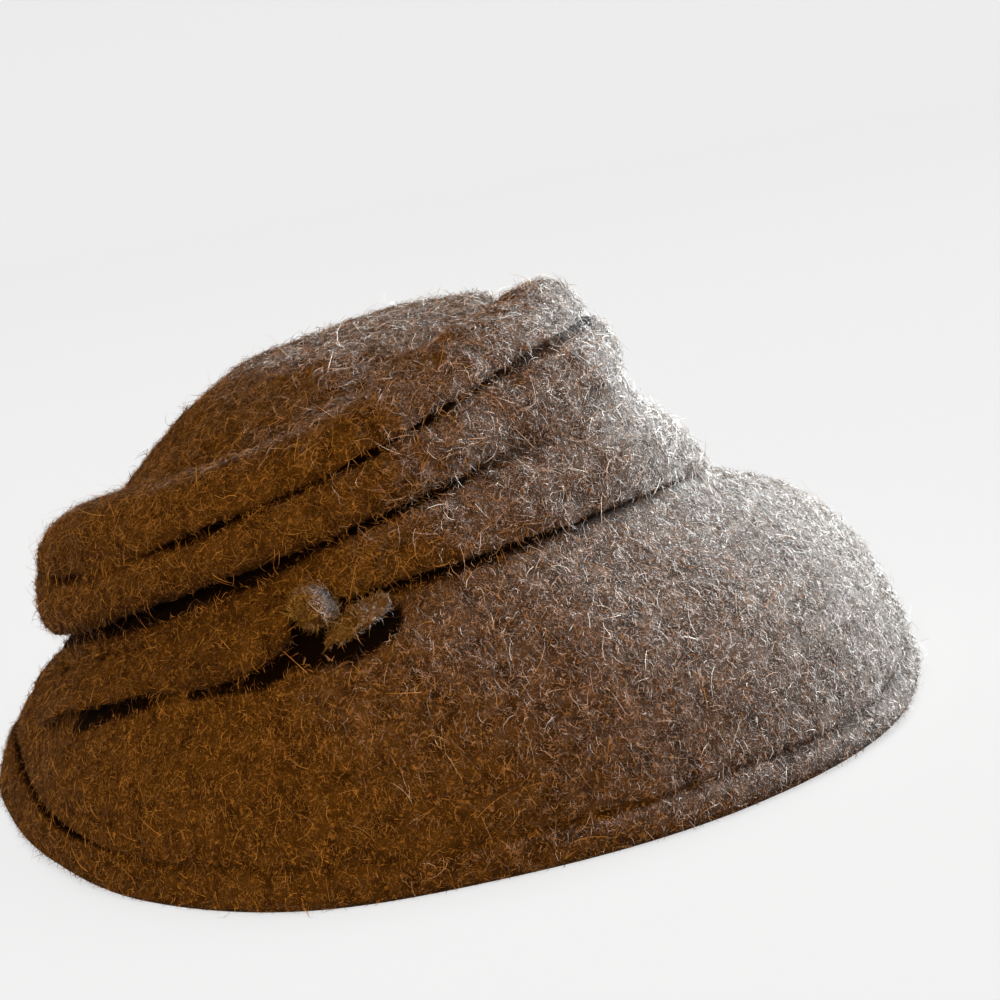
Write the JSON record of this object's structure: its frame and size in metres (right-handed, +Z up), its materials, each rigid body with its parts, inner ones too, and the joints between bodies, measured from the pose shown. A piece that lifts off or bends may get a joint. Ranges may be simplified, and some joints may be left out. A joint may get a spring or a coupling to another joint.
{
  "type": "felt hat with draped crown",
  "caption": "Low felt hat with a draped crown of tilted rolled folds, a wide down-sloping bell brim with a turned hem, and a rolled felt tie with a knob and cut tail.",
  "frame": {"origin": "on the surface the brim edge rests on, under the middle of the hat's box", "axes": "+Z up, -Y towards the front of the hat, +X towards the wearer's left"},
  "size_m": [0.2726, 0.2877, 0.1221],
  "materials": {
    "felt": "taupe long-haired wool felt, matte, with pale guard hairs",
    "knob_felt": "paler grey felt of the tie's knob, matte and hairy"
  },
  "bodies": {
    "root": {"crown": "felt", "brim": "felt", "tie": "felt", "tie_knob": "knob_felt", "tie_tail": "felt"}
  },
  "joints": []
}
